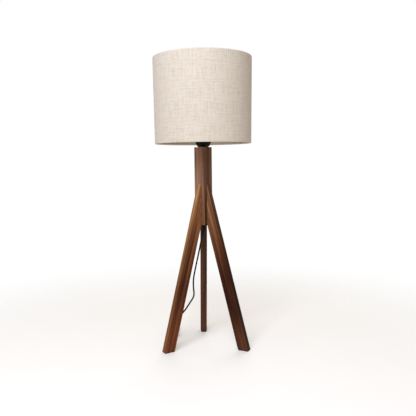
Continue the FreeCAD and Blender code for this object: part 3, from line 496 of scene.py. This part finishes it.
def shade_profile(low_z, high_z):
    """Height and distance inside the outer surface, once round the cloth's section."""
    def mirrored(points):
        return [(low_z + high_z - z, deep) for z, deep in reversed(points)]

    low_edge = []
    for k in range(EDGE_STEPS + 1):
        a = math.pi / 2 * k / EDGE_STEPS
        low_edge.append((low_z + EDGE_ROUND * (1 - math.cos(a)), EDGE_ROUND * (1 - math.sin(a))))
    straight = high_z - low_z - 2 * EDGE_ROUND
    wall = [(low_z + EDGE_ROUND + straight * k / SHADE_ROWS, 0.0) for k in range(1, SHADE_ROWS)]
    inside = EDGE_DEEP - CLOTH
    hem = [(high_z, EDGE_DEEP - FOLD_OUT), (high_z - HEM_ROUND, EDGE_DEEP), (high_z - HEM, EDGE_DEEP),
           (high_z - HEM, inside), (high_z - CLOTH - HEM_ROUND, inside),
           (high_z - CLOTH, inside - FOLD_IN), (high_z - CLOTH, CLOTH + HEM_ROUND),
           (high_z - CLOTH - HEM_ROUND, CLOTH)]
    return low_edge + wall + mirrored(low_edge) + hem + mirrored(hem)


def shade_cover():
    """Linen on its lining: a cone with soft turned-in edges over both wires and a lapped seam."""
    low_z, high_z = shade_low.z, shade_high.z
    profile = shade_profile(low_z, high_z)
    rings = []
    for k in range(SHADE_AROUND):
        angle = 2 * math.pi * k / SHADE_AROUND
        c, s = math.cos(angle), math.sin(angle)
        off = (angle - SEAM_AT + math.pi) % (2 * math.pi) - math.pi
        lap = (SEAM_WIDE / 2 - abs(off) * SHADE_MEAN_R) / SEAM_STEP + 0.5
        ring = []
        for z, deep in profile:
            ripple = RIPPLE * noise.noise(Vector((c * RIPPLE_ROUND, s * RIPPLE_ROUND, z * RIPPLE_UP)))
            if deep < OUTSIDE:
                ripple += SEAM_PROUD * max(0.0, min(1.0, lap))
            r = shade_high.x - SHADE_TAPER * (high_z - z) / (high_z - low_z) - deep - SKIN_IN
            if deep < RIPPLE_DEEP:
                r += max(ripple, -RIPPLE_IN)
            ring.append(Vector((c * r, s * r, z)))
        rings.append(ring)
    return lofted("shade_linen", rings, "linen", looped=True)


shade = shade_cover()


# ---------------------------------------------------------------- boot and tie

BOOT_LEAN = math.radians(10.9)
BOOT_LONG = 0.0415
BOOT_TOP_R, BOOT_TIP_R, BOOT_BORE_R = 0.0069, 0.0046, 0.00322
BOOT_STEPS = 64
BOOT_SIDES = 40
RIBS = 9
RIBS_FROM, RIBS_TO = 0.16, 0.94         # shares of the boot's length
RIB_DEEP = 0.0007
TIP_FROM, TIP_IN = 0.97, 0.0006         # the tip is drawn in past this share of its length


def cord_boot():
    """Ribbed strain relief that leans with the lead."""
    down = Vector((-math.sin(BOOT_LEAN), 0, -math.cos(BOOT_LEAN)))
    side = Vector((0, 1, 0))
    front = down.cross(side)
    start = Vector((0, 0, CORD_OUT * MM))
    turns = []              # centre and radius
    for k in range(BOOT_STEPS + 1):
        t = k / BOOT_STEPS
        r = BOOT_TOP_R + (BOOT_TIP_R - BOOT_TOP_R) * t
        if RIBS_FROM < t < RIBS_TO:
            wave = (t - RIBS_FROM) / (RIBS_TO - RIBS_FROM) * RIBS * 2 * math.pi
            r -= RIB_DEEP * (0.5 - 0.5 * math.cos(wave))
        if t > TIP_FROM:
            r -= TIP_IN * (t - TIP_FROM) / (1 - TIP_FROM)
        turns.append((start + down * (BOOT_LONG * t), r))
    turns += [(start + down * BOOT_LONG, BOOT_BORE_R), (start, BOOT_BORE_R)]
    rings = []
    for centre, r in turns:
        ring = []
        for q in range(BOOT_SIDES):
            a = 2 * math.pi * q / BOOT_SIDES
            p = centre + (side * math.cos(a) + front * math.sin(a)) * r
            p.z = min(p.z, start.z)
            ring.append(p)
        rings.append(ring)
    return lofted("cord_boot", rings, "black_rubber", looped=True)


boot = cord_boot()

STRAP_HIGH, STRAP_HALF = 0.0256, 0.0071         # its inside's top, and half the inside's width
STRAP_CORNER = 0.0032
STRAP_THICK, STRAP_WIDE = 0.0011, 0.0090
STRAP_EDGE = 0.0002
STRAP_LAP = 9                                   # points of the path that the free end covers
CORNER_STEPS = 6
FLOOR_GAP_MM = 0.05                             # nothing of the strap lies lower than this


def tie_band():
    """Hook-and-loop strap round the bundle's waist, its free end lapped over the top."""
    out, low = STRAP_HALF - STRAP_CORNER, STRAP_CORNER + STRAP_THICK
    high = STRAP_HIGH - STRAP_CORNER
    path = []               # across, up, and the way out
    for x, z, begin in ((out, high, 0), (-out, high, 90), (-out, low, 180), (out, low, 270)):
        for k in range(CORNER_STEPS + 1):
            a = math.radians(begin + 90 / CORNER_STEPS * k)
            path.append((x + STRAP_CORNER * math.cos(a), z + STRAP_CORNER * math.sin(a),
                         math.cos(a), math.sin(a)))
    path.append(path[0])
    path += [(x + nx * STRAP_THICK, z + nz * STRAP_THICK, nx, nz)
             for x, z, nx, nz in path[1:STRAP_LAP + 1]]
    half = STRAP_WIDE / 2
    section = ((0, -half), (STRAP_THICK, STRAP_EDGE - half), (STRAP_THICK, half - STRAP_EDGE), (0, half))
    rings = []
    for x, z, nx, nz in path:
        ring = []
        for up, along in section:
            lifted = max((z + nz * up) / MM, FLOOR_GAP_MM)
            ring.append(Vector(in_hank((x + nx * up) / MM, along / MM, lifted)) * MM)
        rings.append(ring)
    return lofted("hank_strap", rings, "tie", smooth=False)


strap = tie_band()


# ---------------------------------------------------------------- what rides on what

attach(lead_upper, "stand")
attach(lead_lower, "stand")
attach(boot, "stand")
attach(strap, "stand")
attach(shade, "shade")
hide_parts("cord_hanging")
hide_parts("cord_on_floor", "cord_hank", "cord_plug_end")
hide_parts("strain_relief")
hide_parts("hank_tie")
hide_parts("shade_fabric")


# ---------------------------------------------------------------- floor and light

FLOOR_HALF = 2.4
FADE_FROM, FADE_TO = 0.28, 1.9          # metres from the lamp's axis over which the floor fades out
FLOOR_GLOW = 0.16
AIM_HIGH = 0.85
ROOM_COLOUR, ROOM_STRENGTH = (1.0, 0.875, 0.735, 1.0), 0.43
WHITE = (1.0, 1.0, 1.0, 1.0)


def stage_floor():
    """Pale floor round the lamp that fades into the white backdrop."""
    half = FLOOR_HALF
    mesh = bpy.data.meshes.new("floor")
    mesh.from_pydata([(-half, -half, 0), (half, -half, 0), (half, half, 0), (-half, half, 0)],
                     [], [(0, 1, 2, 3)])
    floor = bpy.data.objects.new("floor", mesh)
    scene.collection.objects.link(floor)
    n = Nodes("floor_paint")
    fine = n.noise(n.place(), 3.0)
    away = n.add("ShaderNodeVectorMath", {0: n.place()}, operation="LENGTH").outputs["Value"]
    fade = n.add("ShaderNodeMapRange", {"Value": away, "From Min": FADE_FROM, "From Max": FADE_TO,
                                        "To Min": 1.0, "To Max": 0.0},
                 interpolation_type="SMOOTHSTEP").outputs[0]
    n.put(n.shader.inputs["Alpha"], fade)
    mesh.materials.append(n.finish(n.mix(fine, (0.90, 0.90, 0.90), (0.93, 0.93, 0.93)), 0.8,
                                   Emission_Color=WHITE, Emission_Strength=FLOOR_GLOW))


def soft_light(name, azimuth, elevation, distance, size, power, colour):
    """Square area light aimed at the lamp; azimuth 0 is in front and positive is to the right."""
    data = bpy.data.lights.new(name, "AREA")
    data.size = size
    data.energy = power
    data.color = colour
    light = bpy.data.objects.new(name, data)
    a, e = math.radians(azimuth), math.radians(elevation)
    back = Vector((math.sin(a) * math.cos(e), -math.cos(a) * math.cos(e), math.sin(e)))
    light.location = Vector((0, 0, AIM_HIGH)) + back * distance
    light.rotation_euler = back.to_track_quat("Z", "Y").to_euler()
    scene.collection.objects.link(light)


def light_room():
    """Warm even light from all round, while the camera itself sees plain white."""
    world = bpy.data.worlds.new("studio")
    world.use_nodes = True
    scene.world = world
    tree = world.node_tree
    room = tree.nodes["Background"]
    room.inputs["Color"].default_value = ROOM_COLOUR
    room.inputs["Strength"].default_value = ROOM_STRENGTH
    backdrop = tree.nodes.new("ShaderNodeBackground")
    backdrop.inputs["Color"].default_value = WHITE
    choice = tree.nodes.new("ShaderNodeMixShader")
    path = tree.nodes.new("ShaderNodeLightPath")
    tree.links.new(path.outputs["Is Camera Ray"], choice.inputs[0])
    tree.links.new(room.outputs[0], choice.inputs[1])
    tree.links.new(backdrop.outputs[0], choice.inputs[2])
    tree.links.new(choice.outputs[0], tree.nodes["World Output"].inputs["Surface"])


stage_floor()
soft_light("key", azimuth=-19, elevation=34, distance=2.6, size=1.5, power=55, colour=(0.95, 1.0, 1.11))
soft_light("rear", azimuth=165, elevation=38, distance=3.0, size=2.0, power=26, colour=(1.0, 0.97, 0.93))
light_room()
scene.view_settings.view_transform = "Standard"
